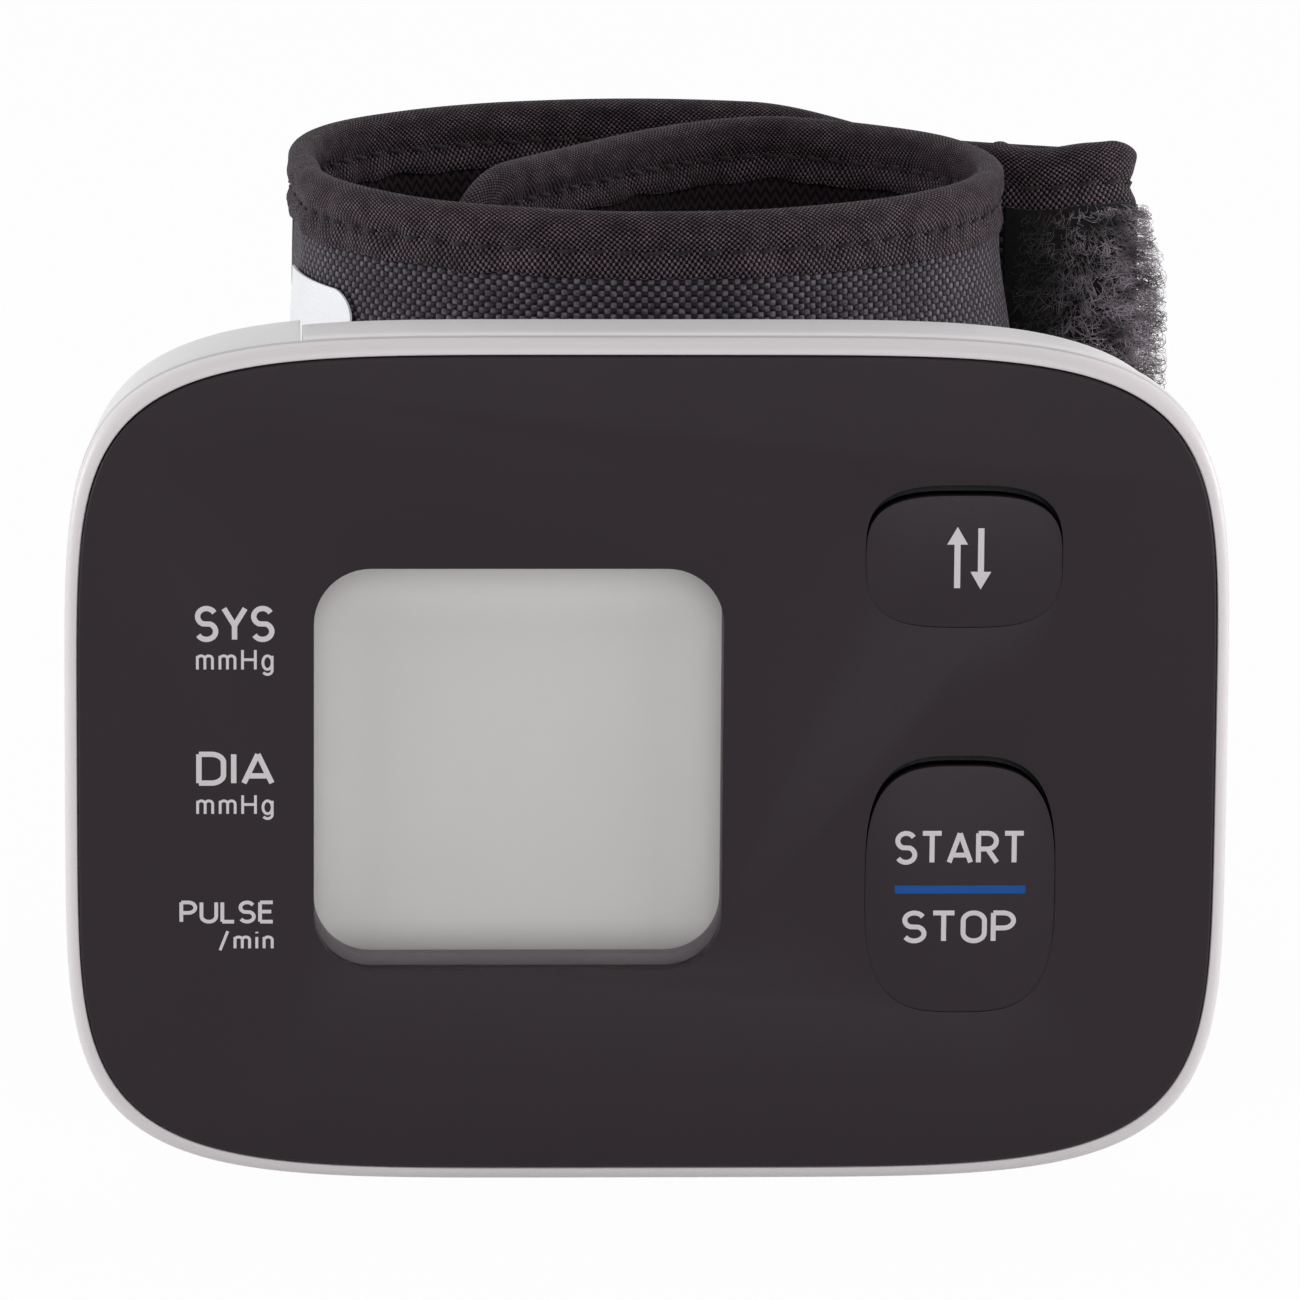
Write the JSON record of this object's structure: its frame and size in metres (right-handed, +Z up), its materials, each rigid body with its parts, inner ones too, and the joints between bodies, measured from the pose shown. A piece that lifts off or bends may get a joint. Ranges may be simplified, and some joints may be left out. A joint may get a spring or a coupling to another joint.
{
  "type": "wrist blood pressure monitor",
  "caption": "Wrist blood pressure monitor: flat white housing with a black front panel, square display, press buttons and a sliding battery cover, on a wound cloth cuff with a folded tail.",
  "frame": {"origin": "on the surface the monitor stands on, at the middle of its outer box in plan", "axes": "+Z up, the front panel faces -Y, +X to the right as seen from the front"},
  "size_m": [0.084, 0.0746, 0.0675],
  "materials": {
    "panel": "fine matt black front panel",
    "shell": "satin white moulded plastic",
    "cover": "satin white moulded plastic",
    "window": "clear polished plastic",
    "holder": "matt dark grey plastic",
    "glass": "grey display glass",
    "button": "fine matt black plastic",
    "board": "green circuit board",
    "black_plastic": "matt black plastic",
    "pale_plastic": "pale plastic",
    "elastomer": "soft silicone",
    "steel": "plain steel",
    "cell": "printed cell jacket",
    "nylon": "woven black nylon",
    "lining": "knitted black lining",
    "binding": "folded woven tape",
    "pile": "brushed loop pile",
    "hook": "moulded hooks",
    "label": "white satin label"
  },
  "bodies": {
    "housing": {"front_panel": "panel", "front_case": "shell", "rear_case": "shell", "case_screw_1": "steel", "case_screw_2": "steel", "case_screw_3": "steel", "case_screw_4": "steel", "display_window": "window", "display_holder": "holder", "display_glass": "glass", "contact_strip": "elastomer", "circuit_board": "board", "start_switch": "black_plastic", "transfer_switch": "black_plastic", "cell_1": "cell", "cell_2": "cell", "coil_contact_1": "steel", "coil_contact_2": "steel", "positive_plate": "steel", "bridge_plate": "steel", "pump_motor": "steel", "pump_head": "black_plastic", "release_valve": "steel", "pressure_sensor": "black_plastic", "air_tubes": "elastomer", "cuff_cover": "nylon", "cuff_lining": "lining", "cuff_binding_top": "binding", "cuff_binding_bottom": "binding", "cuff_curler": "pale_plastic", "cuff_bladder": "elastomer", "inner_pile": "pile", "cuff_label": "label", "cuff_saddle": "black_plastic", "air_nipple": "pale_plastic"},
    "start_key": {"start_button": "button", "start_plunger": "pale_plastic"},
    "transfer_key": {"transfer_button": "button", "transfer_plunger": "pale_plastic"},
    "battery_door": {"battery_cover": "cover"},
    "cuff_flap": {"flap_cover": "nylon", "flap_lining": "lining", "flap_binding_top": "binding", "flap_binding_bottom": "binding", "flap_pile": "pile", "hook_patch": "hook"}
  },
  "joints": [
    {"name": "start_press", "type": "slide", "parent": "housing", "child": "start_key", "axis": [0, 1, 0], "range_m": [0, 0.0004], "stiffness_N_per_m": 2000},
    {"name": "transfer_press", "type": "slide", "parent": "housing", "child": "transfer_key", "axis": [0, 1, 0], "range_m": [0, 0.0004], "stiffness_N_per_m": 2000},
    {"name": "cover_slide", "type": "slide", "parent": "housing", "child": "battery_door", "axis": [-1, 0, 0], "range_m": [0, 0.03]},
    {"name": "flap_swing", "type": "hinge", "parent": "housing", "child": "cuff_flap", "pos_m": [-0.02618, 0.01249, 0.03375], "axis": [0, 0, 1], "range_deg": [0, 90]}
  ]
}
